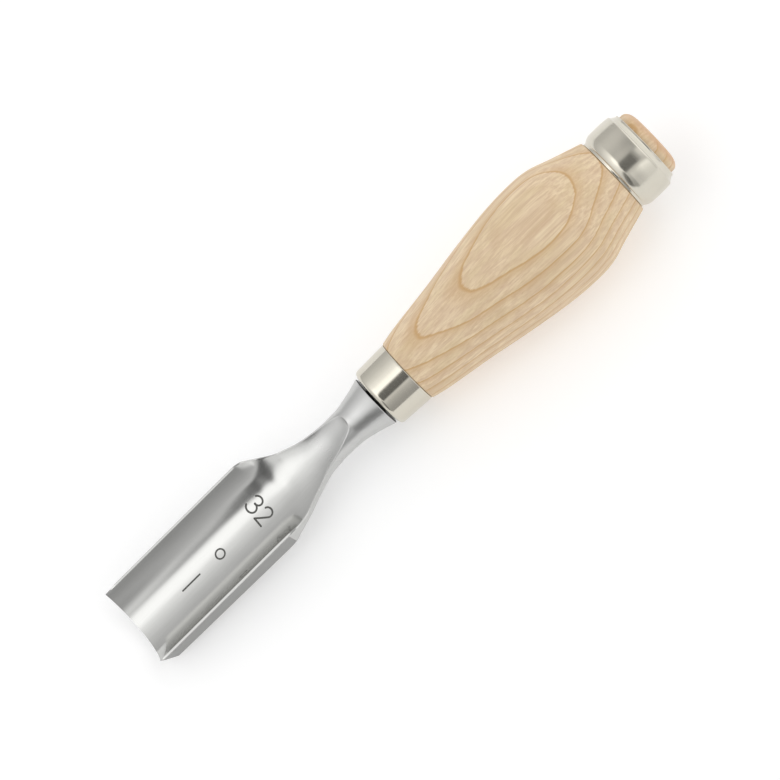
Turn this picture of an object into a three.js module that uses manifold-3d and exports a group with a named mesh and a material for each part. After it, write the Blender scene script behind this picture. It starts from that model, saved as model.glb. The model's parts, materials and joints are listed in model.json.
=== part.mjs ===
// Out-cannel carving gouge with a turned handle, a front ferrule and a striking ring.
// Millimetres. The tool is drawn along its own axis: x = 0 at the front face of the ferrule,
// the handle runs to +X, the cutting edge is at -X and the channel opens to +Z.
// The whole tool is then tipped nose down until it rests on its blade and its handle.
import * as THREE from 'three';
import { mergeVertices } from 'three/addons/utils/BufferGeometryUtils.js';
import { ParametricGeometry } from 'three/addons/geometries/ParametricGeometry.js';
import Module from 'manifold-3d';

const wasm = await Module();
wasm.setup();

// Driving dimensions
const bladeWidth = 32; // the gouge's nominal size, over the ground sides
const edgeX = -111.7; // cutting edge
const shoulderX = -51; // where the sides start to draw in
const channelEndX = -12.1; // where the channel runs out on top of the neck
const fitGap = 0.3; // clearance between touching pieces

const edgeThickness = 0.25; // what is left of the wall at the cutting edge
const bevelLength = { rim: 2.4, side: 4.6, keel: 8 }; // outside bevel, behind the cutting edge

const ferrule = { length: 13.6, frontRadius: 11.6, rearRadius: 12, wall: 1.1, corner: 1.5, holeRadius: 5.9 };
const ferruleBevel = { rear: 0.3, inner: 0.6 };
const bolster = { endX: -0.75, radius: 10 };
const tang = { length: 58, rootHalf: 3.7, pointHalf: 1.3 };
const ring = { frontX: 106.9, rearX: 121.7, lipRadius: 14.1, bodyRadius: 15.3, bore: 12.5 };
const butt = { x: 125.6, faceRadius: 8, rounding: 2.8 };

// Sections of the blade forging, from the cutting edge to the bolster; the last row only sets how the
// bolster flares at its end.
// halfWidth is over the ground sides; rim, side and keel are the heights of the channel's rim, of the
// lower edge of the ground side and of the underside; round is 1 where the section is a plain circle,
// whose side runs from sideAngle to rimAngle.
const sideAngle = -0.28;
const rimAngle = 0.1;
const bladeSections = [
  { x: edgeX, halfWidth: bladeWidth / 2, rim: 2.9, side: -4.4, keel: -9, round: 0 },
  { x: -80, halfWidth: bladeWidth / 2, rim: 4.6, side: -3.7, keel: -8.9, round: 0 },
  { x: -54, halfWidth: bladeWidth / 2, rim: 5.9, side: -3, keel: -8.7, round: 0 },
  { x: shoulderX, halfWidth: bladeWidth / 2, rim: 6, side: -2, keel: -8.7, round: 0 },
  { x: -48.5, halfWidth: 15.85, rim: 5.5, side: 0, keel: -8.7, round: 0 },
  { x: -45.8, halfWidth: 14.9, rim: 4.2, side: 0, keel: -8.65, round: 0.05 },
  { x: -43.1, halfWidth: 13.75, rim: 2.6, side: -0.1, keel: -8.6, round: 0.2 },
  { x: -40.5, halfWidth: 12.3, rim: 1.9, side: -0.75, keel: -8.6, round: 0.5 },
  { x: -37.8, halfWidth: 10.85, rim: 1.5, side: -1.8, keel: -8.6, round: 0.85 },
  { x: -35.1, halfWidth: 9.85, rim: 1.2, side: -2.4, keel: -8.5, round: 1 },
  { x: -32.4, halfWidth: 8.9, rim: 1.2, side: -2.4, keel: -8.3, round: 1 },
  { x: -29.8, halfWidth: 8.05, rim: 1.2, side: -2.3, keel: -8, round: 1 },
  { x: -27.1, halfWidth: 7.45, rim: 1.2, side: -2.2, keel: -7.5, round: 1 },
  { x: -24.4, halfWidth: 7.1, rim: 1.2, side: -2.2, keel: -7.2, round: 1 },
  { x: -19.6, halfWidth: 6.75, rim: 1.2, side: -2.2, keel: -6.8, round: 1 },
  { x: -13, halfWidth: 6.95, rim: 1.2, side: -2.2, keel: -7, round: 1 },
  { x: -9, halfWidth: 7.7, rim: 1.2, side: -2.4, keel: -7.7, round: 1 },
  { x: -5, halfWidth: 8.65, rim: 1.2, side: -2.6, keel: -8.6, round: 1 },
  { x: bolster.endX, halfWidth: bolster.radius, rim: 1.2, side: -3, keel: -bolster.radius, round: 1 },
  { x: bolster.endX + 3, halfWidth: bolster.radius + 1.2, rim: 1.2, side: -3, keel: -11.2, round: 1 },
];

// The channel: an arc of this radius whose lowest line is at this height.
const channelSections = [
  { x: edgeX, radius: 19, bottom: -5.1 },
  { x: -80, radius: 19, bottom: -3.4 },
  { x: shoulderX, radius: 19, bottom: -2 },
  { x: -45.8, radius: 20, bottom: -1.8 },
  { x: -43.1, radius: 23, bottom: -1.6 },
  { x: -37.8, radius: 22, bottom: -1.1 },
  { x: -32.4, radius: 18, bottom: -0.4 },
  { x: -27.1, radius: 11.9, bottom: 0.55 },
  { x: -21.7, radius: 9.4, bottom: 1.85 },
  { x: -15.7, radius: 7.6, bottom: 4.4 },
  { x: -13.3, radius: 7.3, bottom: 5.7 },
  { x: -12.6, radius: 7.2, bottom: 6.4 },
  { x: channelEndX, radius: 7.2, bottom: 7.1 },
];

// The handle's outline between its two shoulders, as distance along the tool and radius.
const handleOutline = [
  [ferrule.length + fitGap, 12.2],
  [20.7, 13.6],
  [36.5, 15.9],
  [52.3, 18.6],
  [68, 20.8],
  [80, 21.45],
  [88, 20.75],
  [96, 18.2],
  [ring.frontX - fitGap, 14.9],
];

// Smooth interpolation of a table of sections: every field is a monotone-slope cubic of x.
function along(sections, x) {
  const last = sections.length - 1;
  let i = 0;
  while (i < last - 1 && x > sections[i + 1].x) i += 1;
  const [a, b] = [sections[i], sections[i + 1]];
  const t = THREE.MathUtils.clamp((x - a.x) / (b.x - a.x), 0, 1);
  const slope = (k, field) => {
    if (k === 0 || k === last) return 0;
    const [p, q, r] = [sections[k - 1], sections[k], sections[k + 1]];
    const before = (q[field] - p[field]) / (q.x - p.x);
    const after = (r[field] - q[field]) / (r.x - q.x);
    return before * after > 0 ? (2 * before * after) / (before + after) : 0;
  };
  const result = {};
  for (const field of Object.keys(a)) {
    const scale = b.x - a.x;
    const [m0, m1] = [slope(i, field) * scale, slope(i + 1, field) * scale];
    result[field] = (2 * t ** 3 - 3 * t ** 2 + 1) * a[field] + (t ** 3 - 2 * t ** 2 + t) * m0
      + (3 * t ** 2 - 2 * t ** 3) * b[field] + (t ** 3 - t ** 2) * m1;
  }
  return result;
}

// Evenly spaced values, both ends included.
const spread = (from, to, count) => Array.from({ length: count + 1 }, (_, i) => from + ((to - from) * i) / count);

// A closed solid through cross-sections. outline(x) gives the half section as [y, z] points from the
// keel up to the top; it is mirrored, and each end is closed by a fan to a point on the middle plane.
function loft(stations, outline) {
  const rings = stations.map((x) => {
    const half = outline(x);
    const mirrored = half.slice(1, -1).reverse().map(([y, z]) => [-y, z]);
    return [...half, ...mirrored].map(([y, z]) => new THREE.Vector3(x, y, z));
  });
  const cap = (ring) => {
    const [keel, top] = [ring[0], ring[ring.length / 2]];
    return ring.map(() => new THREE.Vector3(keel.x, 0, (keel.z + top.z) / 2));
  };
  const skin = [cap(rings[0]), ...rings, cap(rings[rings.length - 1])];
  const around = rings[0].length;
  const surface = (u, v, target) => {
    const point = skin[Math.round(v * (skin.length - 1))][Math.round(u * around) % around];
    target.copy(point);
  };
  return new ParametricGeometry(surface, around, skin.length - 1);
}

// Exact booleans
function toManifold(geometry) {
  const plain = geometry.clone();
  plain.deleteAttribute('normal');
  plain.deleteAttribute('uv');
  const merged = mergeVertices(plain, 1e-4);
  const index = [];
  for (let i = 0; i < merged.index.count; i += 3) {
    const corner = [merged.index.getX(i), merged.index.getX(i + 1), merged.index.getX(i + 2)];
    if (new Set(corner).size === 3) index.push(...corner);
  }
  const vertProperties = new Float32Array(merged.attributes.position.array);
  return new wasm.Manifold(new wasm.Mesh({ numProp: 3, vertProperties, triVerts: new Uint32Array(index) }));
}

function toGeometry(manifold) {
  const { vertProperties, triVerts } = manifold.getMesh();
  const geometry = new THREE.BufferGeometry();
  geometry.setAttribute('position', new THREE.BufferAttribute(new Float32Array(vertProperties), 3));
  geometry.setIndex(new THREE.BufferAttribute(new Uint32Array(triVerts), 1));
  geometry.computeVertexNormals();
  return geometry;
}

const turnedSides = 48;

// A turned solid about the tool's axis from [x, radius] points, listed clockwise round the metal.
function turned(points, segments) {
  const profile = points.map(([x, radius]) => new THREE.Vector2(radius, x));
  return new THREE.LatheGeometry(profile, segments).rotateZ(-Math.PI / 2);
}

// Half section of the channel cutter: the lower arc, then straight up past everything.
const cutterTop = 30;

function channelOutline(x) {
  const { radius, bottom } = along(channelSections, x);
  const arc = spread(-Math.PI / 2, 0, 14).map((a) => [radius * Math.cos(a), bottom + radius * (1 + Math.sin(a))]);
  return [...arc, [radius, cutterTop], [0, cutterTop]];
}

// Half section of the forging before the channel is cut: an arc under the keel, the flat ground
// side and the flat rim, turning into a circle along the neck.
const keelSteps = 9;
const sideSteps = 3;
const rimSteps = 3;

function forgingOutline(x) {
  const { halfWidth, rim, side, keel, round } = along(bladeSections, x);
  const drop = side - keel;
  const keelRadius = (halfWidth ** 2 + drop ** 2) / (2 * drop);
  const halfAngle = Math.asin(Math.min(1, halfWidth / keelRadius));
  const sharp = [
    ...spread(0, halfAngle, keelSteps).map((a) => [
      keelRadius * Math.sin(a), keel + keelRadius * (1 - Math.cos(a))]),
    ...spread(side, rim, sideSteps).slice(1).map((z) => [halfWidth, z]),
    ...spread(halfWidth, 0, rimSteps).slice(1).map((y) => [y, rim]),
  ];
  const angles = [
    ...spread(-Math.PI / 2, sideAngle, keelSteps),
    ...spread(sideAngle, rimAngle, sideSteps).slice(1),
    ...spread(rimAngle, Math.PI / 2, rimSteps).slice(1),
  ];
  return sharp.map(([y, z], i) => {
    const circle = [halfWidth * Math.cos(angles[i]), halfWidth * Math.sin(angles[i])];
    return [THREE.MathUtils.lerp(y, circle[0], round), THREE.MathUtils.lerp(z, circle[1], round)];
  });
}

// The same section with the outside bevel ground on it: behind the edge the wall grows from
// almost nothing to its full thickness over the bevel's length.
function bladeOutline(x) {
  const full = forgingOutline(x);
  const { radius, bottom } = along(channelSections, x);
  const centre = bottom + radius;
  return full.map(([y, z], i) => {
    const belowRim = i <= keelSteps + sideSteps;
    if (!belowRim) return [y, z];
    const length = i < keelSteps
      ? THREE.MathUtils.lerp(bevelLength.keel, bevelLength.side, i / keelSteps)
      : THREE.MathUtils.lerp(bevelLength.side, bevelLength.rim, (i - keelSteps) / sideSteps);
    const reach = Math.min(1, (x - edgeX) / length);
    const distance = Math.hypot(y, z - centre);
    const ground = radius + edgeThickness + (distance - radius - edgeThickness) * reach;
    const scale = Math.min(1, ground / distance);
    return [y * scale, i === keelSteps + sideSteps ? z : centre + (z - centre) * scale];
  });
}

// Blade, neck, bolster and tang are one forging.
function bladeGeometry() {
  const bevelStations = spread(edgeX, edgeX + bevelLength.keel, 6);
  const bodyStations = spread(edgeX + bevelLength.keel, shoulderX - 3, 3).slice(1);
  const neckStations = spread(shoulderX - 3, bolster.endX, 22).slice(1);
  const body = toManifold(loft([...bevelStations, ...bodyStations, ...neckStations], bladeOutline));

  const cutterStations = [
    edgeX - 2,
    ...spread(edgeX, shoulderX, 4),
    ...spread(shoulderX, channelEndX, 18).slice(1),
    channelEndX + 0.8,
  ];
  const channel = toManifold(loft(cutterStations, channelOutline));

  const overlap = 2;
  const length = tang.length + overlap;
  const [pointCorner, rootCorner] = [tang.pointHalf * Math.SQRT2, tang.rootHalf * Math.SQRT2];
  const tangShape = new THREE.CylinderGeometry(pointCorner, rootCorner, length, 4)
    .rotateY(Math.PI / 4)
    .rotateZ(-Math.PI / 2)
    .translate(bolster.endX - overlap + length / 2, 0, 0);
  return toGeometry(body.subtract(channel).add(toManifold(tangShape)));
}

// Drawn cup over the front end of the handle; the tang passes through its flange.
function ferruleGeometry() {
  const { length, frontRadius, rearRadius, wall, corner, holeRadius } = ferrule;
  const rounding = spread(0, Math.PI / 2, 5).map((a) => [
    corner * (1 - Math.sin(a)), frontRadius - corner * (1 - Math.cos(a))]).reverse();
  const outline = [
    [0, holeRadius],
    ...rounding,
    [length - ferruleBevel.rear, rearRadius],
    [length, rearRadius - ferruleBevel.rear],
    [length, rearRadius - wall],
    [wall + ferruleBevel.inner, frontRadius - wall],
    [wall, frontRadius - wall - ferruleBevel.inner],
    [wall, holeRadius],
    [0, holeRadius],
  ];
  return turned(outline, turnedSides);
}

// Turned ash: a spigot in the ferrule, the swelling grip, and a spigot that stands out of the
// striking ring with a rounded end. The hole for the tang ends a little past its point.
const spigotChamfer = 0.8;
const holeRelief = 1;

function handleGeometry() {
  const curve = new THREE.SplineCurve(handleOutline.map(([x, r]) => new THREE.Vector2(x, r)));
  const grip = curve.getPoints(20).map((p) => [p.x, p.y]);
  const frontX = ferrule.wall + fitGap;
  const frontSpigot = ferrule.frontRadius - ferrule.wall - fitGap;
  const rearSpigot = ring.bore - fitGap;
  const holeEnd = bolster.endX + tang.length + holeRelief;
  const clearance = (half) => half * Math.SQRT2 + fitGap;
  const buttEdge = spread(0, Math.PI / 2, 4).map((a) => [
    butt.x - butt.rounding * (1 - Math.sin(a)),
    butt.faceRadius + (rearSpigot - butt.faceRadius) * Math.cos(a)]);
  const outline = [
    [holeEnd, 0],
    [holeEnd - holeRelief, clearance(tang.pointHalf)],
    [frontX, clearance(tang.rootHalf)],
    [frontX, frontSpigot - spigotChamfer],
    [frontX + spigotChamfer, frontSpigot],
    [ferrule.length + fitGap, frontSpigot],
    ...grip,
    [ring.frontX - fitGap, rearSpigot],
    ...buttEdge,
    [butt.x, 0],
  ];
  return turned(outline, turnedSides);
}

// Striking ring: a hoop with a low front lip, a crowned body and a rounded rear edge.
const lip = { length: 1.8, bevel: 0.3 };

function strikeRingGeometry() {
  const { frontX, rearX, lipRadius, bodyRadius, bore } = ring;
  const crown = new THREE.SplineCurve([
    new THREE.Vector2(frontX + 2.1, bodyRadius - 0.6),
    new THREE.Vector2(frontX + 3.2, bodyRadius - 0.1),
    new THREE.Vector2((frontX + rearX) / 2, bodyRadius),
    new THREE.Vector2(rearX - 4.1, bodyRadius - 0.15),
    new THREE.Vector2(rearX - 1.6, bodyRadius - 1),
    new THREE.Vector2(rearX, bore + 0.6),
  ]).getPoints(10).map((p) => [p.x, p.y]);
  const outline = [
    [frontX, bore],
    [frontX, lipRadius - lip.bevel],
    [frontX + lip.bevel, lipRadius],
    [frontX + lip.length, lipRadius],
    ...crown,
    [rearX, bore],
    [frontX, bore],
  ];
  return turned(outline, turnedSides);
}

// The angle at which the blade's underside and the handle's swelling touch one level surface.
function restingTilt(blade, handle) {
  const lowest = (geometry, tilt) => {
    const { array } = geometry.attributes.position;
    let low = Infinity;
    for (let i = 0; i < array.length; i += 3) {
      low = Math.min(low, array[i] * Math.sin(tilt) + array[i + 2] * Math.cos(tilt));
    }
    return low;
  };
  let [small, large] = [0, 0.2];
  for (let i = 0; i < 40; i += 1) {
    const middle = (small + large) / 2;
    if (lowest(blade, middle) > lowest(handle, middle)) small = middle;
    else large = middle;
  }
  return small;
}

function piece(name, geometry, color, roughness, metalness) {
  const mesh = new THREE.Mesh(geometry, new THREE.MeshStandardMaterial({ color, roughness, metalness }));
  mesh.name = name;
  return mesh;
}

const blade = piece('blade', bladeGeometry(), 0xb9bab6, 0.28, 1);
const ferruleCup = piece('ferrule', ferruleGeometry(), 0xbdb5a2, 0.22, 1);
const handle = piece('handle', handleGeometry(), 0xdcc09a, 0.6, 0);
const strikeRing = piece('strike_ring', strikeRingGeometry(), 0xb9b19f, 0.25, 1);

const tool = new THREE.Group();
tool.add(blade, ferruleCup, handle, strikeRing);
tool.rotation.y = -restingTilt(blade.geometry, handle.geometry);

// Stand the tool on z = 0 with the middle of its outline over the origin.
const gouge = new THREE.Group();
gouge.add(tool);
gouge.updateMatrixWorld(true);
const extent = new THREE.Box3().setFromObject(gouge, true);
tool.position.set(-(extent.min.x + extent.max.x) / 2, 0, -extent.min.z);

export default gouge;
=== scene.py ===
import functools
import json
import math

import bmesh
import bpy
import numpy as np
from mathutils import Matrix, Vector


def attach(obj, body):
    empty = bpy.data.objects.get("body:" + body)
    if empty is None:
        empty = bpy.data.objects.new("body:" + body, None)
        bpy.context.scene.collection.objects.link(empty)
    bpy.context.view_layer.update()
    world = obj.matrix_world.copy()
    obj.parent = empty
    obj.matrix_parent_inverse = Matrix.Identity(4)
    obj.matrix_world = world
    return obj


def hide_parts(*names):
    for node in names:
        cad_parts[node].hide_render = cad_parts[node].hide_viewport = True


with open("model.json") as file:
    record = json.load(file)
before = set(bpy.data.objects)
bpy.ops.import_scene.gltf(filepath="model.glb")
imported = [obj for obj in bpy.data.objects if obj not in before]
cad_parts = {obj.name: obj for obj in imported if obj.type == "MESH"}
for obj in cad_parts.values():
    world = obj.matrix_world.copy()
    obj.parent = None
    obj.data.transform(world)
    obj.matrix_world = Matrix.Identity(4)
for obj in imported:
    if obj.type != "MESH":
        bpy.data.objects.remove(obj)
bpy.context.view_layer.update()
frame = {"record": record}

# ---------------------------------------------------------------------------------------------
# Frame. Every piece is drawn in the tool's own frame, in millimetres: x = 0 at the front face of
# the ferrule, +x towards the butt, +z out of the channel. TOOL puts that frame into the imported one.
# ---------------------------------------------------------------------------------------------
MM = 0.001
MERGE_DISTANCE = 0.0005  # points closer than this become one
BUTT_X = 125.6  # flat end of the handle, where the record's striking_face mount sits

mount = frame["record"]["mounts"][0]
axis = Vector(mount["axis"]).normalized()
across = Vector((0, 1, 0))
up = axis.cross(across).normalized()
origin = Vector(mount["pos_m"]) - axis * BUTT_X * MM
TOOL = Matrix.Translation(origin) @ Matrix((axis, across, up)).transposed().to_4x4()

# Driving dimensions
HALF_WIDTH = 16.0
EDGE_X = -111.7
SHOULDER_X = -51.0
CHANNEL_END_X = -12.1
BOLSTER_END_X = -0.75
BOLSTER_RADIUS = 10.0
TANG_LENGTH, TANG_ROOT, TANG_POINT = 58.0, 3.7, 1.3  # half widths at its root and its point
FERRULE_LENGTH, FERRULE_FRONT, FERRULE_REAR, FERRULE_WALL = 13.6, 11.6, 12.0, 1.1
FERRULE_HOLE, FERRULE_CORNER, FERRULE_LIP = 5.9, 1.6, 0.3
RING_FRONT, RING_REAR, RING_BORE = 106.9, 121.7, 12.5
RING_LIP, RING_BODY = 14.1, 15.3
FRONT_SHOULDER, REAR_SHOULDER = FERRULE_LENGTH + 0.1, RING_FRONT - 0.05
BUTT_FACE, BUTT_ROUNDING = 8.0, 2.8

# x, half width over the ground sides, height of rim, of the side's lower edge and of the keel,
# and how far the section has turned into a plain circle
BLADE_SECTIONS = [
    (EDGE_X, HALF_WIDTH, 2.9, -4.4, -9.0, 0.0),
    (-80.0, HALF_WIDTH, 4.6, -3.7, -8.9, 0.0),
    (-54.0, HALF_WIDTH, 5.9, -3.0, -8.7, 0.0),
    (SHOULDER_X, HALF_WIDTH, 6.0, -2.0, -8.7, 0.0),
    (-48.5, 15.85, 5.5, 0.0, -8.7, 0.0),
    (-45.8, 14.9, 4.2, 0.0, -8.65, 0.05),
    (-43.1, 13.75, 2.6, -0.1, -8.6, 0.2),
    (-40.5, 12.3, 1.9, -0.75, -8.6, 0.5),
    (-37.8, 10.85, 1.5, -1.8, -8.6, 0.85),
    (-35.1, 9.85, 1.2, -2.4, -8.5, 1.0),
    (-32.4, 8.9, 1.2, -2.4, -8.3, 1.0),
    (-29.8, 8.05, 1.2, -2.3, -8.0, 1.0),
    (-27.1, 7.45, 1.2, -2.2, -7.5, 1.0),
    (-24.4, 7.1, 1.2, -2.2, -7.2, 1.0),
    (-19.6, 6.75, 1.2, -2.2, -6.8, 1.0),
    (-13.0, 6.95, 1.2, -2.2, -7.0, 1.0),
    (-9.0, 7.7, 1.2, -2.4, -7.7, 1.0),
    (-5.0, 8.65, 1.2, -2.6, -8.6, 1.0),
    (BOLSTER_END_X, BOLSTER_RADIUS, 1.2, -3.0, -BOLSTER_RADIUS, 1.0),
    (BOLSTER_END_X + 3.0, BOLSTER_RADIUS + 1.2, 1.2, -3.0, -BOLSTER_RADIUS - 1.2, 1.0),
]

# x, radius of the channel's arc and height of its lowest line
CHANNEL_SECTIONS = [
    (EDGE_X, 18.4, -5.1),
    (-80.0, 18.4, -3.4),
    (SHOULDER_X, 18.4, -2.0),
    (-45.8, 20.4, -1.92),
    (-43.1, 22.0, -1.85),
    (-37.8, 21.8, -1.15),
    (-32.4, 18.0, -0.4),
    (-27.1, 11.9, 0.55),
    (-21.7, 9.4, 1.85),
    (-15.7, 7.6, 4.4),
    (-13.3, 7.3, 5.7),
    (-12.6, 7.2, 6.4),
    (CHANNEL_END_X, 7.2, 7.1),
]

# x, radius of the grip between the ferrule and the striking ring
HANDLE_OUTLINE = [
    (FRONT_SHOULDER, 12.15), (20.7, 13.6), (36.5, 15.9), (52.3, 18.6), (68.0, 20.8),
    (80.0, 21.45), (88.0, 20.75), (96.0, 18.2), (REAR_SHOULDER, 14.9),
]


def spread(start, end, count):
    """count + 1 evenly spaced numbers from start to end."""
    return [start + (end - start) * i / count for i in range(count + 1)]


def lerp(a, b, t):
    return a + (b - a) * t


def spread_line(start, end, count):
    """count + 1 evenly spaced points from start to end."""
    return [(lerp(start[0], end[0], t), lerp(start[1], end[1], t)) for t in spread(0, 1, count)]


def arc_points(centre, radius, start_deg, end_deg, count):
    """count + 1 points on an arc in the plane of the first two coordinates."""
    return [
        (centre[0] + radius * math.cos(math.radians(a)), centre[1] + radius * math.sin(math.radians(a)))
        for a in spread(start_deg, end_deg, count)
    ]


def smoothstep(t):
    t = min(1.0, max(0.0, t))
    return t * t * (3 - 2 * t)


def along(table, x):
    """Smooth, overshoot-free interpolation of a table of rows (x, value, value, ...)."""
    last = len(table) - 1
    i = 0
    while i < last - 1 and x > table[i + 1][0]:
        i += 1
    a, b = table[i], table[i + 1]
    step = b[0] - a[0]
    t = min(1.0, max(0.0, (x - a[0]) / step))

    def slope(k, field):
        if k in (0, last):
            p, q = (table[0], table[1]) if k == 0 else (table[last - 1], table[last])
            return (q[field] - p[field]) / (q[0] - p[0])
        p, q, r = table[k - 1], table[k], table[k + 1]
        before = (q[field] - p[field]) / (q[0] - p[0])
        after = (r[field] - q[field]) / (r[0] - q[0])
        return 2 * before * after / (before + after) if before * after > 0 else 0.0

    values = []
    for field in range(1, len(a)):
        m0, m1 = slope(i, field) * step, slope(i + 1, field) * step
        values.append(
            (2 * t**3 - 3 * t**2 + 1) * a[field] + (t**3 - 2 * t**2 + t) * m0
            + (3 * t**2 - 2 * t**3) * b[field] + (t**3 - t**2) * m1
        )
    return values


def finish_piece(name, bm, material, sharp_angle=None):
    """Turns a bmesh drawn in tool millimetres into a smooth-shaded object in its place."""
    bmesh.ops.remove_doubles(bm, verts=bm.verts, dist=MERGE_DISTANCE)
    bmesh.ops.recalc_face_normals(bm, faces=bm.faces)
    for vertex in bm.verts:
        vertex.co = TOOL @ (vertex.co * MM)
    mesh = bpy.data.meshes.new(name)
    bm.to_mesh(mesh)
    bm.free()
    for polygon in mesh.polygons:
        polygon.use_smooth = True
    if sharp_angle:
        mesh.set_sharp_from_angle(angle=math.radians(sharp_angle))
    mesh.materials.append(material)
    piece = bpy.data.objects.new(name, mesh)
    bpy.context.scene.collection.objects.link(piece)
    weighted = piece.modifiers.new("weighted normals", "WEIGHTED_NORMAL")
    weighted.keep_sharp = True
    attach(piece, "root")
    return piece


# ---------------------------------------------------------------------------------------------
# Node helpers
# ---------------------------------------------------------------------------------------------
class Shader:
    """A material's node tree, with short calls for the nodes used here."""

    def __init__(self, name):
        self.material = bpy.data.materials.new(name)
        self.material.use_nodes = True
        self.tree = self.material.node_tree
        self.principled = self.tree.nodes["Principled BSDF"]

    def node(self, kind, inputs=None, **settings):
        node = self.tree.nodes.new(kind)
        for key, value in settings.items():
            setattr(node, key, value)
        for key, value in (inputs or {}).items():
            if isinstance(value, bpy.types.NodeSocket):
                self.tree.links.new(value, node.inputs[key])
            else:
                node.inputs[key].default_value = value
        return node

    def math(self, operation, *values):
        inputs = dict(enumerate(values))
        return self.node("ShaderNodeMath", inputs, operation=operation).outputs[0]

    def product(self, *values):
        return functools.reduce(lambda a, b: self.math("MULTIPLY", a, b), values)

    def total(self, *values):
        return functools.reduce(lambda a, b: self.math("ADD", a, b), values)

    def position(self, scale=(1, 1, 1)):
        """Coordinates in the tool's own frame, in millimetres, multiplied by scale axis by axis."""
        coords = self.node("ShaderNodeTexCoord").outputs["Object"]
        inputs = {
            "Vector": coords, "Location": TOOL.translation, "Rotation": TOOL.to_euler(),
            "Scale": [MM / s for s in scale],
        }
        return self.node("ShaderNodeMapping", inputs, vector_type="TEXTURE").outputs[0]

    def split_position(self):
        return self.node("ShaderNodeSeparateXYZ", {0: self.position()}).outputs

    def noise(self, scale, detail=2.0, roughness=0.5):
        """Noise in the tool's frame; scale is features per millimetre along x, y and z."""
        inputs = {"Vector": self.position(scale), "Scale": 1.0, "Detail": detail, "Roughness": roughness}
        return self.node("ShaderNodeTexNoise", inputs).outputs["Fac"]

    def remap(self, value, low, high, to_low, to_high):
        inputs = {"Value": value, "From Min": low, "From Max": high, "To Min": to_low, "To Max": to_high}
        return self.node("ShaderNodeMapRange", inputs).outputs["Result"]

    def smooth(self, value, low, high):
        """0 at low and 1 at high, with a soft start and end; low may be the larger one."""
        inputs = {"Value": value, "From Min": low, "From Max": high}
        return self.node("ShaderNodeMapRange", inputs, interpolation_type="SMOOTHSTEP").outputs["Result"]

    def mix(self, factor, a, b):
        node = self.node("ShaderNodeMix", data_type="RGBA")
        for socket, value in zip((node.inputs[0], node.inputs[6], node.inputs[7]), (factor, a, b)):
            if isinstance(value, bpy.types.NodeSocket):
                self.tree.links.new(value, socket)
            else:
                socket.default_value = value
        return node.outputs[2]

    def bump(self, height, distance_mm, strength):
        inputs = {"Height": height, "Distance": distance_mm * MM, "Strength": strength}
        return self.node("ShaderNodeBump", inputs).outputs["Normal"]

    def surface(self, **inputs):
        """Sets the surface's inputs by name, with _ for a space, and returns the material."""
        for key, value in inputs.items():
            socket = self.principled.inputs[key.replace("_", " ")]
            if isinstance(value, bpy.types.NodeSocket):
                self.tree.links.new(value, socket)
            else:
                socket.default_value = value
        return self.material


def rgb(red, green, blue):
    return (red, green, blue, 1.0)


# ---------------------------------------------------------------------------------------------
# Materials
# ---------------------------------------------------------------------------------------------
NECK_START_X, NECK_FULL_X = -44.0, -16.0  # where the channel's polish gives way to the neck's
PAINTED_GAP_SHADE = rgb(0.03, 0.03, 0.028)  # painted shade on the two faces that meet in the gap before the ferrule
LAYER_SPACING, INNERMOST_DEPTH = 4.1, 22.3  # of the growth layers in the handle


def blade_steel():
    """Polished steel with faint lengthwise lines. The neck is duller than the channel, and the face
    in the gap before the ferrule is painted nearly black: painted shade in the gap."""
    shader = Shader("blade_steel")
    x = shader.split_position()[0]
    lines = shader.noise((0.03, 1.6, 1.6), detail=4)
    clouds = shader.noise((0.11, 0.11, 0.11), detail=3)
    tone = shader.total(shader.product(lines, 0.5), shader.product(clouds, 0.5))
    channel_colour = shader.mix(tone, rgb(0.51, 0.51, 0.495), rgb(0.60, 0.60, 0.585))
    neck_colour = shader.mix(tone, rgb(0.52, 0.52, 0.51), rgb(0.61, 0.61, 0.60))
    neck = shader.smooth(x, NECK_START_X, NECK_FULL_X)
    colour = shader.mix(neck, channel_colour, neck_colour)
    # painted shade: the bolster's end face, in the gap before the ferrule, is darkened to nearly black
    gap = shader.smooth(x, BOLSTER_END_X - 0.15, BOLSTER_END_X)
    colour = shader.mix(gap, colour, PAINTED_GAP_SHADE)
    neck_dulling = shader.product(neck, 0.15)
    roughness = shader.total(shader.remap(tone, 0.3, 0.7, 0.12, 0.18), neck_dulling)
    normal = shader.bump(lines, 0.012, strength=0.5)
    return shader.surface(Base_Color=colour, Metallic=1.0, Roughness=roughness, Normal=normal)


def ground_steel():
    """The flat ground sides: straight grinding lines along the blade and a duller face."""
    shader = Shader("ground_steel")
    lines = shader.noise((0.06, 3.2, 3.2), detail=5, roughness=0.7)
    colour = shader.mix(lines, rgb(0.24, 0.24, 0.235), rgb(0.42, 0.42, 0.41))
    roughness = shader.remap(lines, 0.3, 0.7, 0.32, 0.46)
    normal = shader.bump(lines, 0.02, strength=0.7)
    return shader.surface(Base_Color=colour, Metallic=1.0, Roughness=roughness, Normal=normal)


def nickel(name, roughness_low, roughness_high):
    """Warm polished nickel with faint turning lines round the axis. The ferrule's front face, in the
    gap behind the bolster, is painted nearly black: painted shade in the gap."""
    shader = Shader(name)
    x = shader.split_position()[0]
    lines = shader.noise((2.4, 0.05, 0.05), detail=3)
    clouds = shader.noise((0.16, 0.16, 0.16), detail=3)
    colour = shader.mix(clouds, rgb(0.61, 0.58, 0.50), rgb(0.68, 0.645, 0.56))
    # painted shade: the ferrule's front face, in the gap behind the bolster, is darkened to nearly black
    gap = shader.smooth(x, 0.12, 0.02)
    colour = shader.mix(gap, colour, PAINTED_GAP_SHADE)
    roughness = shader.remap(lines, 0.3, 0.7, roughness_low, roughness_high)
    normal = shader.bump(lines, 0.006, strength=0.4)
    return shader.surface(Base_Color=colour, Metallic=1.0, Roughness=roughness, Normal=normal)


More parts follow.
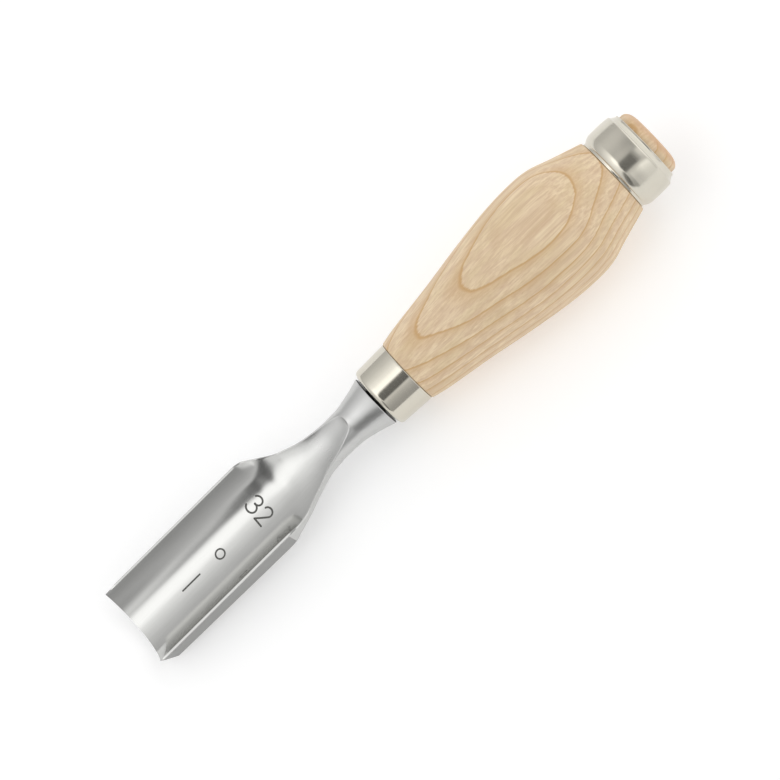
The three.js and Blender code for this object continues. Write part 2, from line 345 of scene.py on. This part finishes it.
def late_wood(shader, streaks):
    """Share of dark late wood: each growth layer is a gently bent sheet that darkens slowly and ends in
    a thin line. The innermost layer is cut off before it darkens."""
    sag, tilt, wander_depth, streak_depth = 0.004, 0.13, 3.0, 0.5
    bow_square, bow_slope, bow_start = -0.0009, 0.1086, 2.4
    shade_share, line_share = 0.38, 0.62
    x, y, z = shader.split_position()
    wander = shader.noise((0.022, 0.05, 0.05), detail=2)
    bow = shader.product(x, shader.math("MULTIPLY_ADD", x, bow_square, bow_slope))
    depth = shader.total(
        shader.math("SUBTRACT", z, shader.product(y, y, sag)),
        shader.math("SUBTRACT", bow, bow_start),
        shader.product(wander, wander_depth),
        shader.product(y, tilt),
        shader.product(streaks, streak_depth),
    )
    layer = shader.math("FRACT", shader.math("DIVIDE", depth, LAYER_SPACING))
    layer_end = shader.smooth(layer, 0.93, 0.87)
    present = shader.product(layer_end, shader.smooth(depth, INNERMOST_DEPTH + 1.0, INNERMOST_DEPTH))
    shade = shader.product(shader.smooth(layer, 0.35, 0.85), present)
    line = shader.product(shader.smooth(layer, 0.79, 0.875), present)
    return shader.total(shader.product(shade, shade_share), shader.product(line, line_share))


def ash_wood():
    """Flat-sawn ash: growth layers, fibre streaks, soft mottling, open pores and browner end grain."""
    shader = Shader("ash_wood")
    dark_fibre, light_fibre = rgb(0.70, 0.515, 0.33), rgb(0.86, 0.69, 0.47)
    olive, russet, late_brown = rgb(0.70, 0.545, 0.315), rgb(0.65, 0.455, 0.30), rgb(0.60, 0.36, 0.15)
    pore_brown, end_brown = rgb(0.42, 0.24, 0.11), rgb(0.56, 0.30, 0.15)

    streaks = shader.noise((0.035, 1.3, 1.3), detail=5, roughness=0.65)
    late = late_wood(shader, streaks)
    wood = shader.mix(shader.smooth(streaks, 0.35, 0.65), dark_fibre, light_fibre)
    tint = shader.smooth(shader.noise((0.05, 0.2, 0.2), detail=3), 0.42, 0.62)
    wood = shader.mix(shader.product(tint, 0.4), wood, olive)
    mottle = shader.smooth(shader.noise((0.1, 0.45, 0.45), detail=4), 0.4, 0.66)
    wood = shader.mix(shader.product(mottle, 0.42), wood, russet)
    wood = shader.mix(shader.product(late, 0.92), wood, late_brown)
    pores = shader.smooth(shader.noise((0.16, 4.5, 4.5), detail=3, roughness=0.6), 0.58, 0.72)
    pore_share = shader.product(pores, shader.remap(late, 0.0, 1.0, 0.15, 0.45))
    wood = shader.mix(pore_share, wood, pore_brown)
    end_grain = shader.smooth(shader.split_position()[0], BUTT_X - BUTT_ROUNDING, BUTT_X - 0.6)
    wood = shader.mix(shader.product(end_grain, 0.55), wood, end_brown)

    relief = shader.math("SUBTRACT", shader.product(streaks, 0.4), pores)
    normal = shader.bump(relief, 0.03, strength=0.5)
    roughness = shader.remap(streaks, 0.3, 0.7, 0.5, 0.62)
    return shader.surface(
        Base_Color=wood, Roughness=roughness, Normal=normal, Coat_Weight=0.12, Coat_Roughness=0.35
    )


def etched():
    """Dark grey etched marking."""
    shader = Shader("etched_mark")
    speckle = shader.noise((6.0, 6.0, 6.0), detail=3)
    colour = shader.mix(speckle, rgb(0.07, 0.07, 0.065), rgb(0.16, 0.16, 0.15))
    return shader.surface(Base_Color=colour, Metallic=0.3, Roughness=0.7)


# ---------------------------------------------------------------------------------------------
# Blade: one skin from the cutting edge through neck and bolster to the point of the tang
# ---------------------------------------------------------------------------------------------
# points on the half section: kept round the blade, and sampled before they are evened out
KEEL_STEPS, SIDE_STEPS, LAND_STEPS, CHANNEL_STEPS, FILLET_STEPS = 24, 6, 14, 40, 6
UNDER_SAMPLES, SIDE_SAMPLES, TOP_SAMPLES, CHANNEL_SAMPLES, LAND_SAMPLES = 40, 12, 160, 60, 8

SIDE_FILLET, RIM_FILLET, INNER_FILLET = 0.6, 0.28, 0.08
NECK_FILLET, NECK_FILLET_FADE = 0.45, 8.0  # the channel's corner softens over this length
SIDE_ANGLE, RIM_ANGLE = 0.28, 0.1  # where the ground side ends up once the section is a circle
VEE_MOST, VEE_START_X, VEE_END_X, VEE_FADE, VEE_ROUNDING = 0.45, -50.0, -34.0, 8.0, 4.0
LEAST_LAND, LAND_FADE = 0.35, 5.0  # how the top's points are shared out behind the channel

EDGE_WALL = 0.04  # thickness left at the cutting edge
BEVEL_ROWS = 8
KEEL_BEVEL, SIDE_BEVEL = 8.0, 4.6
RIM_BEVEL = {1: 5.3, -1: 0.9}  # the far corner is rounded more than the near one
BODY_START_X = -99.0  # from here back every row is a plain section


def polyline_part(points, count, trim_start, trim_end):
    """Evenly spaced points on a polyline, leaving out a length at each end."""
    points = np.asarray(points)
    lengths = np.r_[0.0, np.cumsum(np.hypot(*np.diff(points, axis=0).T))]
    total = lengths[-1]
    trim_start = min(trim_start, total * 0.4)
    trim_end = min(trim_end, total * 0.4)
    where = np.linspace(trim_start, total - trim_end, count + 1)
    return np.c_[np.interp(where, lengths, points[:, 0]), np.interp(where, lengths, points[:, 1])]


def fillet(start, corner, end):
    """The inner points of a rounded corner."""
    t = np.linspace(0, 1, FILLET_STEPS + 1)[1:-1, None]
    return (1 - t) ** 2 * start + 2 * t * (1 - t) * corner + t**2 * end


def vee_share(x):
    """How far the channel's arc has flattened into two slanting sides, just behind the shoulders."""
    fade_in = smoothstep((x - VEE_START_X) / VEE_FADE)
    fade_out = smoothstep((VEE_END_X - x) / VEE_FADE)
    return VEE_MOST * fade_in * fade_out


def outer_outline(half, rim, side, keel, circle):
    """The half section without its channel: under the keel, up the side, and over the top to the middle.
    circle is how far each of the three has turned into its part of a plain circle."""

    def blend(flat, angle):
        ring = half * np.c_[np.cos(angle), np.sin(angle)]
        return flat + (ring - flat) * circle

    drop = side - keel
    keel_radius = (half**2 + drop**2) / (2 * drop)
    bow = np.linspace(0, math.asin(min(1.0, half / keel_radius)), UNDER_SAMPLES)
    arc = np.c_[keel_radius * np.sin(bow), keel + keel_radius * (1 - np.cos(bow))]
    under = blend(arc, np.linspace(-math.pi / 2, -SIDE_ANGLE, UNDER_SAMPLES))
    upright = np.c_[np.full(SIDE_SAMPLES, half), np.linspace(side, rim, SIDE_SAMPLES)]
    wall = blend(upright, np.linspace(-SIDE_ANGLE, RIM_ANGLE, SIDE_SAMPLES))
    inward = np.linspace(0, 1, TOP_SAMPLES)
    level = np.c_[half * (1 - inward), np.full(TOP_SAMPLES, rim)]
    top = blend(level, RIM_ANGLE + (math.pi / 2 - RIM_ANGLE) * inward)
    return under, wall, top


def cut_channel(x, top, radius, bottom):
    """Splits the top into the land left on the rim and the channel; behind the channel's end both follow
    the top."""
    centre = bottom + radius
    inside = np.hypot(top[:, 0], top[:, 1] - centre) - radius
    below = np.nonzero(inside < 0)[0]
    if len(below) and x < CHANNEL_END_X:
        k = max(1, below[0])
        share = inside[k - 1] / (inside[k - 1] - inside[k])
        edge = top[k - 1] + (top[k] - top[k - 1]) * min(1.0, max(0.0, share))
        angles = np.linspace(math.atan2(edge[0], centre - edge[1]), 0, CHANNEL_SAMPLES)
        channel = np.c_[radius * np.sin(angles), centre - radius * np.cos(angles)]
        vee = VEE_ROUNDING * (np.hypot(channel[:, 0] / VEE_ROUNDING, 1) - 1)
        vee = bottom + vee * (edge[1] - bottom) / max(vee[0], 1e-6)
        channel[:, 1] += (vee - channel[:, 1]) * vee_share(x)
        return np.vstack([top[:k], edge]), channel
    land_share = lerp(1.0, LEAST_LAND, smoothstep((x - CHANNEL_END_X) / LAND_FADE))
    k = int(round(land_share * (len(top) - 1)))
    channel = top[k:] if k < len(top) - 1 else np.repeat(top[-1:], 2, axis=0)
    return top[: k + 1], channel


def grind(points, radius, bottom, reach):
    """Draws points of the outer wall in towards the channel's arc, leaving a share reach of the wall."""
    centre = bottom + radius
    away = np.hypot(points[:, 0], points[:, 1] - centre)
    left = radius + EDGE_WALL + (away - radius - EDGE_WALL) * reach
    return np.c_[points[:, 0] * left / away, centre + (points[:, 1] - centre) * left / away]


@functools.lru_cache(maxsize=None)
def half_section(x, reach):
    """Half of the blade's section at x, as [y, z] rows from the keel round to the channel's lowest line.
    reach is how much of the outer wall the outside bevel has left, 0 at the cutting edge."""
    radius, bottom = along(CHANNEL_SECTIONS, x)
    under, wall, top = outer_outline(*along(BLADE_SECTIONS, x))
    land, channel = cut_channel(x, top, radius, bottom)
    if reach < 1:
        under = grind(under, radius, bottom, reach)
        wall = grind(wall, radius, bottom, reach)
        land = np.linspace(wall[-1], land[-1], LAND_SAMPLES)

    inner_fillet = lerp(INNER_FILLET, NECK_FILLET, smoothstep((x - SHOULDER_X) / NECK_FILLET_FADE))
    parts = [
        polyline_part(under, KEEL_STEPS, 0, SIDE_FILLET),
        polyline_part(wall, SIDE_STEPS, SIDE_FILLET, RIM_FILLET),
        polyline_part(land, LAND_STEPS, RIM_FILLET, inner_fillet),
        polyline_part(channel, CHANNEL_STEPS, inner_fillet, 0),
    ]
    corners = [under[-1], wall[-1], land[-1]]
    rows = [parts[0]]
    for corner, part in zip(corners, parts[1:]):
        rows.append(fillet(rows[-1][-1], corner, part[0]))
        rows.append(part)
    return np.vstack(rows)


def bevel_lengths(columns, side):
    """How far the outside bevel runs back at each column of the half section."""
    wall_start = KEEL_STEPS + FILLET_STEPS
    wall_end = wall_start + SIDE_STEPS
    lengths = []
    for i in range(columns):
        if i <= wall_start:
            lengths.append(lerp(KEEL_BEVEL, SIDE_BEVEL, smoothstep(i / wall_start)))
        elif i <= wall_end:
            lengths.append(lerp(SIDE_BEVEL, RIM_BEVEL[side], (i - wall_start) / SIDE_STEPS))
        else:
            lengths.append(lerp(RIM_BEVEL[side], SIDE_BEVEL, smoothstep((i - wall_end) / CHANNEL_STEPS)))
    return lengths


def blade_stations():
    """Where the plain rows lie: closest at the shoulders and towards the end of the channel."""
    shoulder_start, neck_start = -54.0, -29.0
    stations = spread(BODY_START_X, shoulder_start, 12)[1:]
    stations += spread(shoulder_start, neck_start, 44)[1:]
    stations += [lerp(CHANNEL_END_X, neck_start, (1 - u) ** 1.8) for u in spread(0, 1, 48)[1:]]
    stations += spread(CHANNEL_END_X, BOLSTER_END_X - 0.35, 24)[1:]
    return stations


def squared(ring, x, half):
    """The ring's points drawn in to a square of that half width at x."""
    scales = [half / max(abs(y), abs(z)) for _, y, z in ring]
    return [(x, y * scale, z * scale) for (_, y, z), scale in zip(ring, scales)]


def blade_ring(places, reach):
    """One closed ring from its two halves; places[side] holds the x of each of its points."""
    halves = {}
    for side, xs in places.items():
        points = [half_section(x, reach)[column] for column, x in enumerate(xs)]
        halves[side] = [(x, side * y, z) for x, (y, z) in zip(xs, points)]
    return halves[1] + halves[-1][-2:0:-1]


def blade_rows():
    """Rows of points round the blade: each row is a closed ring of (x, y, z)."""
    sides = (1, -1)
    columns = len(half_section(SHOULDER_X, 1))
    bevel_ends = {side: [EDGE_X + length for length in bevel_lengths(columns, side)] for side in sides}
    rows = []
    for reach in spread(0, 1, BEVEL_ROWS):
        places = {side: [lerp(EDGE_X, end, reach) for end in bevel_ends[side]] for side in sides}
        rows.append(blade_ring(places, reach))
    for share in spread(0, 1, 5)[1:]:
        places = {side: [lerp(end, BODY_START_X, share) for end in bevel_ends[side]] for side in sides}
        rows.append(blade_ring(places, 1))
    for x in blade_stations():
        rows.append(blade_ring({side: [x] * columns for side in sides}, 1))

    bolster = rows[-1]
    rounding = ((BOLSTER_END_X - 0.1, 0.992), (BOLSTER_END_X, 0.965), (BOLSTER_END_X, 0.6))
    for x, scale in rounding:
        rows.append([(x, y * scale, z * scale) for _, y, z in bolster])
    rows.append(squared(bolster, BOLSTER_END_X, TANG_ROOT))
    rows.append(squared(bolster, BOLSTER_END_X + TANG_LENGTH, TANG_POINT))
    return rows


def build_blade(material, side_material):
    """The blade with its neck, bolster and tang; the ground sides have a material of their own."""
    rows = blade_rows()
    bm = bmesh.new()
    grid = [[bm.verts.new(point) for point in row] for row in rows]
    around = len(rows[0])
    wall_start = KEEL_STEPS + FILLET_STEPS
    wall_columns = set(range(wall_start, wall_start + SIDE_STEPS))
    wall_columns |= {around - 1 - i for i in wall_columns}
    for r in range(len(grid) - 1):
        for c in range(around):
            after = (c + 1) % around
            face = bm.faces.new((grid[r][c], grid[r][after], grid[r + 1][after], grid[r + 1][c]))
            behind_bevel = r >= BEVEL_ROWS and rows[r][c][0] < SHOULDER_X - 1.0
            face.material_index = 1 if behind_bevel and c in wall_columns else 0
    bm.faces.new(grid[0][::-1])
    bm.faces.new(grid[-1])
    blade = finish_piece("gouge_blade", bm, material, sharp_angle=32)
    blade.data.materials.append(side_material)
    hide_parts("blade")


# ---------------------------------------------------------------------------------------------
# Turned pieces
# ---------------------------------------------------------------------------------------------
def turn(profile, segments, closed):
    """A turned solid from (x, radius) points; open profiles start and end on the axis."""
    bm = bmesh.new()
    angles = [2 * math.pi * k / segments for k in range(segments)]
    rings = [[bm.verts.new((x, r * math.sin(a), r * math.cos(a))) for a in angles] for x, r in profile]
    pairs = list(zip(rings, rings[1:]))
    if closed:
        pairs.append((rings[-1], rings[0]))
    for a, b in pairs:
        for k in range(segments):
            n = (k + 1) % segments
            bm.faces.new((a[k], a[n], b[n], b[k]))
    return bm


def smooth_through(points, count):
    """A Catmull-Rom curve through (x, radius) points."""
    padded = [points[0]] + list(points) + [points[-1]]
    result = []
    for k in range(1, len(padded) - 2):
        p0, p1, p2, p3 = (Vector(p) for p in padded[k - 1 : k + 3])
        for step in range(count):
            t = step / count
            point = 0.5 * (
                2 * p1 + (p2 - p0) * t + (2 * p0 - 5 * p1 + 4 * p2 - p3) * t**2
                + (3 * p1 - p0 - 3 * p2 + p3) * t**3
            )
            result.append(tuple(point))
    result.append(tuple(points[-1]))
    return result


def build_ferrule(material):
    """A drawn cup with a hole for the tang in its front face and a slightly wider rear end."""
    corner, lip = FERRULE_CORNER, FERRULE_LIP
    front_bore, rear_bore = FERRULE_FRONT - FERRULE_WALL, FERRULE_REAR - FERRULE_WALL
    profile = [(0.0, FERRULE_HOLE), (0.0, 8.0)]
    profile += arc_points((corner, FERRULE_FRONT - corner), corner, 180, 92, 12)
    profile += spread_line((corner + 0.2, FERRULE_FRONT + 0.02), (FERRULE_LENGTH - 0.35, FERRULE_REAR), 14)
    profile += arc_points((FERRULE_LENGTH - lip, FERRULE_REAR - lip), lip, 80, 0, 4)
    profile += [(FERRULE_LENGTH, rear_bore), (2.0, front_bore)]
    profile += [(FERRULE_WALL, front_bore - 0.9), (FERRULE_WALL, FERRULE_HOLE)]
    ferrule = finish_piece("front_ferrule", turn(profile, 160, True), material, sharp_angle=35)
    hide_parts("ferrule")


def build_handle(material):
    """One turning: the tapered hole for the tang, a spigot in the ferrule, the grip, a spigot through the
    striking ring and the rounded end."""
    clearance, spigot_start, chamfer = 0.3, 1.4, 0.8
    front_spigot, rear_spigot = FERRULE_FRONT - FERRULE_WALL - clearance, RING_BORE - 0.06
    hole_root, hole_point = (half * math.sqrt(2) + clearance for half in (TANG_ROOT, TANG_POINT))
    hole_end = BOLSTER_END_X + TANG_LENGTH + 1
    rounding_start = BUTT_X - BUTT_ROUNDING
    profile = [(hole_end, 0.0), (hole_end - 1, hole_point), (spigot_start, hole_root)]
    profile += [(spigot_start, front_spigot - chamfer), (spigot_start + chamfer, front_spigot)]
    profile += [(FRONT_SHOULDER, front_spigot), (FRONT_SHOULDER, 11.95), (FRONT_SHOULDER + 0.1, 12.13)]
    profile += smooth_through(HANDLE_OUTLINE, 14)[2:-2]
    profile += [(REAR_SHOULDER - 0.3, 15.0), (REAR_SHOULDER, 14.7), (REAR_SHOULDER, rear_spigot)]
    profile += spread_line((REAR_SHOULDER + 0.6, rear_spigot), (rounding_start, rear_spigot), 8)
    profile += [
        (rounding_start + BUTT_ROUNDING * math.sin(a), lerp(BUTT_FACE, rear_spigot, math.cos(a)))
        for a in spread(0, math.pi / 2, 12)[1:]
    ]
    profile += [(BUTT_X, 4.5), (BUTT_X, 0.0)]
    handle = finish_piece("ash_handle", turn(profile, 192, False), material, sharp_angle=40)
    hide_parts("handle")


def build_ring(material):
    """A hoop with a low lip in front, a plain body and a rounded rear."""
    corner = 0.35
    profile = [(RING_FRONT, RING_BORE), (RING_FRONT, RING_LIP - corner)]
    profile += arc_points((RING_FRONT + corner, RING_LIP - corner), corner, 170, 90, 4)
    profile += [(RING_FRONT + 0.7, RING_LIP)]
    profile += smooth_through(
        [
            (RING_FRONT + 1.1, RING_LIP + 0.08), (RING_FRONT + 1.7, RING_LIP + 0.5),
            (RING_FRONT + 2.6, RING_BODY - 0.3), (RING_FRONT + 3.6, RING_BODY - 0.05),
            (RING_FRONT + 5.0, RING_BODY),
            (RING_FRONT + 9.0, RING_BODY), (RING_FRONT + 12.0, RING_BODY - 0.25),
            (RING_REAR - 2.2, RING_BODY - 0.8), (RING_REAR - 0.9, RING_BODY - 1.7),
            (RING_REAR - 0.15, RING_BORE + 1.0), (RING_REAR, RING_BORE + 0.5),
        ],
        6,
    )
    profile += [(RING_REAR, RING_BORE)]
    ring = finish_piece("striking_ring", turn(profile, 192, True), material, sharp_angle=40)
    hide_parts("strike_ring")


# ---------------------------------------------------------------------------------------------
# Etched marks in the channel: thin strokes laid on its surface
# ---------------------------------------------------------------------------------------------
MARK_LIFT = 0.02


def on_channel(x, arc_length):
    """The point at x, arc_length away from the channel's lowest line (+ towards +y)."""
    radius, bottom = along(CHANNEL_SECTIONS, x)
    angle = arc_length / radius
    inner = radius - MARK_LIFT
    return Vector((x, inner * math.sin(angle), bottom + radius - inner * math.cos(angle)))


def stroke_mesh(bm, points, width):
    """A flat stroke with round ends along (x, arc length) points."""
    points = [Vector(p) for p in points]
    half = width / 2
    steps = []
    for k, point in enumerate(points):
        ahead = (points[min(k + 1, len(points) - 1)] - points[max(k - 1, 0)]).normalized()
        steps.append((point, ahead, Vector((-ahead.y, ahead.x))))

    def round_end(step, start_deg, end_deg):
        point, ahead, side = step
        angles = [math.radians(a) for a in spread(start_deg, end_deg, 4)]
        return [(point + ahead * half * math.sin(a), side * half * math.cos(a)) for a in angles]

    rows = round_end(steps[0], -90, -15)
    rows += [(point, side * half) for point, ahead, side in steps]
    rows += round_end(steps[-1], 15, 90)
    verts = []
    for middle, offset in rows:
        places = (middle + offset, middle, middle - offset)
        verts.append([bm.verts.new(on_channel(place.x, place.y)) for place in places])
    for a, b in zip(verts, verts[1:]):
        for k in (0, 1):
            bm.faces.new((a[k], a[k + 1], b[k + 1], b[k]))


def digit_three(height):
    """Centre lines of a 3 as (u, v): u across, v up, from its baseline."""
    r_top, r_low = height * 0.235, height * 0.275
    upper = arc_points((r_top, height - r_top), r_top, 160, -90, 22)
    lower = arc_points((r_top, r_low), r_low, 90, -160, 24)
    return [upper, lower]


def digit_two(height):
    """Centre lines of a 2."""
    r = height * 0.25
    bowl = arc_points((r, height - r), r, 165, -40, 20)
    bowl += spread_line(bowl[-1], (0.0, 0.0), 10)[1:]
    return [bowl, spread_line((0.0, 0.0), (2.1 * r, 0.0), 6)]


def build_marks(material):
    """The width in millimetres, set across the blade, and a plain ring and bar nearer the edge."""
    bm = bmesh.new()
    digit_height, digit_stretch, digit_base_x, digit_stroke = 6.4, 1.15, -57.6, 0.68
    for lines, start in ((digit_three(digit_height), 5.7), (digit_two(digit_height), 0.45)):
        for line in lines:
            points = [(digit_base_x + v, start - u * digit_stretch) for u, v in line]
            stroke_mesh(bm, points, digit_stroke)
    ring_x, ring_radius, bar_x, bar_length, plain_stroke = -74.2, 1.7, -92.0, 8.0, 0.6
    stroke_mesh(bm, arc_points((ring_x, 0.0), ring_radius, 0, 360, 40), plain_stroke)
    stroke_mesh(bm, spread_line((bar_x, 0.0), (bar_x + bar_length, 0.0), 10), plain_stroke)
    marks = finish_piece("width_mark", bm, material)


# ---------------------------------------------------------------------------------------------
# Stage: floor, a pale dome that lights the tool softly, and the camera
# ---------------------------------------------------------------------------------------------
DOME_RADIUS = 2.4
VIEW_ELEVATION = math.radians(68)
VIEW_ROLL = math.radians(42.08)
VIEW_DISTANCE = 1.1
VIEW_WIDTH = 0.2587  # metres across the picture, at the target
VIEW_TARGET = Vector((5.0, -0.6, 0.0)) * MM  # in the tool's frame
SENSOR = 36.0
RAMP_TOP = 2.0  # the ramp's colours end at 1, so they hold levels as shares of this


def build_camera():
    data = bpy.data.cameras.new("camera")
    camera = bpy.data.objects.new("camera", data)
    bpy.context.scene.collection.objects.link(camera)
    target = TOOL @ VIEW_TARGET
    towards = Vector((0, -math.cos(VIEW_ELEVATION), math.sin(VIEW_ELEVATION)))
    level = Vector((1, 0, 0))
    rise = towards.cross(level)
    right = level * math.cos(VIEW_ROLL) - rise * math.sin(VIEW_ROLL)
    above = level * math.sin(VIEW_ROLL) + rise * math.cos(VIEW_ROLL)
    turn_matrix = Matrix((right, above, towards)).transposed().to_4x4()
    camera.matrix_world = Matrix.Translation(target + towards * VIEW_DISTANCE) @ turn_matrix
    data.sensor_width = SENSOR
    data.lens = VIEW_DISTANCE * SENSOR / VIEW_WIDTH
    data.clip_end = 20
    bpy.context.scene.camera = camera


def build_floor():
    bm = bmesh.new()
    bmesh.ops.create_circle(bm, cap_ends=True, segments=96, radius=DOME_RADIUS)
    mesh = bpy.data.meshes.new("floor")
    bm.to_mesh(mesh)
    bm.free()
    shader = Shader("floor")
    white = rgb(0.82, 0.82, 0.82)
    glow = {"Base_Color": white, "Roughness": 0.9, "Emission_Color": white, "Emission_Strength": 0.36}
    mesh.materials.append(shader.surface(**glow))
    floor = bpy.data.objects.new("floor", mesh)
    bpy.context.scene.collection.objects.link(floor)


def dark_opening(shader, x, y):
    """The opening that the camera looks through: a dark band that narrows towards the blade's end."""
    low_edge = shader.math("MAXIMUM", shader.math("MULTIPLY_ADD", x, -2.6, -1.288), -0.63)
    high_edge = shader.math("MINIMUM", shader.math("MULTIPLY_ADD", x, 0.9, 0.171), 0.0)
    above_low = shader.smooth(shader.math("SUBTRACT", y, low_edge), -0.04, 0.05)
    below_high = shader.smooth(shader.math("SUBTRACT", y, high_edge), -0.08, -0.22)
    butt_side = shader.smooth(x, 0.22, 0.06)
    blade_side = shader.remap(x, -0.37, -0.28, 0.5, 1.0)
    return shader.product(below_high, butt_side, blade_side, above_low)


def low_card(shader, x, y):
    """A round dark card low down at the blade's end."""
    dx = shader.math("DIVIDE", shader.math("ADD", x, 0.54), 0.20)
    dy = shader.math("DIVIDE", shader.math("ADD", y, 0.68), 0.20)
    away = shader.total(shader.product(dx, dx), shader.product(dy, dy))
    return shader.smooth(away, 1.5, 0.5)


def grey_behind(shader, x, y):
    """The tent behind the tool, towards the handle's end."""
    along_x = shader.product(shader.smooth(x, -0.16, -0.04), shader.smooth(x, 0.5, 0.3))
    along_y = shader.product(shader.smooth(y, -0.25, -0.1), shader.smooth(y, 0.9, 0.2))
    return shader.product(along_y, along_x)


def bright_before(shader, x, y):
    """The tent low down in front of the tool, towards the handle's end."""
    along_x = shader.product(shader.smooth(x, 0.5, 0.3), shader.smooth(x, -0.01, 0.08))
    return shader.product(shader.smooth(y, -0.66, -0.78), along_x)


def dome_light(shader):
    """Colour and strength of a soft light, brightest overhead, with the darker and brighter areas that
    the metal reflects. x and y are those of the direction from the middle of the floor."""
    coords = shader.node("ShaderNodeTexCoord").outputs["Object"]
    unit = shader.node("ShaderNodeVectorMath", {0: coords}, operation="NORMALIZE").outputs[0]
    x, y = shader.node("ShaderNodeSeparateXYZ", {0: unit}).outputs[:2]
    hot_spot = Vector((-0.35, 0.0, 0.94)).normalized()
    nearness = shader.node("ShaderNodeVectorMath", {0: unit, 1: hot_spot}, operation="DOT_PRODUCT")
    ramp = shader.node("ShaderNodeValToRGB", {0: nearness.outputs["Value"]})
    elements = ramp.color_ramp.elements
    stops = ((0.0, 0.62), (0.3, 0.67), (0.64, 0.83), (0.83, 1.04), (0.95, 1.3), (0.993, 1.75))
    while len(elements) < len(stops):
        elements.new(0.5)
    for element, (place, level) in zip(elements, stops):
        share = level / RAMP_TOP
        element.position = place
        element.color = rgb(share, share, share)

    lit = shader.remap(shader.smooth(y, -1.0, -0.45), 0.0, 1.0, 0.68, 1.0)
    areas = (
        (dark_opening(shader, x, y), 0.16),
        (low_card(shader, x, y), 0.3),
        (grey_behind(shader, x, y), 0.5),
        (bright_before(shader, x, y), 2.2),
        (shader.smooth(x, 0.3, 0.6), 1.8),
    )
    for area, level in areas:
        lit = shader.product(lit, shader.remap(area, 0.0, 1.0, 1.0, level))
    return ramp.outputs[0], shader.product(lit, RAMP_TOP)


def build_dome():
    """A light tent round the tool."""
    bm = bmesh.new()
    bmesh.ops.create_uvsphere(bm, u_segments=96, v_segments=48, radius=DOME_RADIUS)
    bmesh.ops.bisect_plane(
        bm, geom=bm.verts[:] + bm.edges[:] + bm.faces[:], plane_co=(0, 0, -0.02), plane_no=(0, 0, 1),
        clear_inner=True,
    )
    mesh = bpy.data.meshes.new("dome")
    bm.to_mesh(mesh)
    bm.free()
    for polygon in mesh.polygons:
        polygon.use_smooth = True
    shader = Shader("dome")
    colour, strength = dome_light(shader)
    emission = shader.node("ShaderNodeEmission", {"Color": colour, "Strength": strength})
    output = shader.tree.nodes["Material Output"]
    shader.tree.links.new(emission.outputs[0], output.inputs["Surface"])
    shader.tree.nodes.remove(shader.principled)
    shader.material.cycles.emission_sampling = "NONE"
    mesh.materials.append(shader.material)
    dome = bpy.data.objects.new("dome", mesh)
    bpy.context.scene.collection.objects.link(dome)


bpy.context.scene.view_settings.view_transform = "Standard"
build_camera()
build_floor()
build_dome()

build_blade(blade_steel(), ground_steel())
build_ferrule(nickel("nickel_ferrule", 0.09, 0.14))
build_handle(ash_wood())
build_ring(nickel("nickel_ring", 0.14, 0.20))
build_marks(etched())
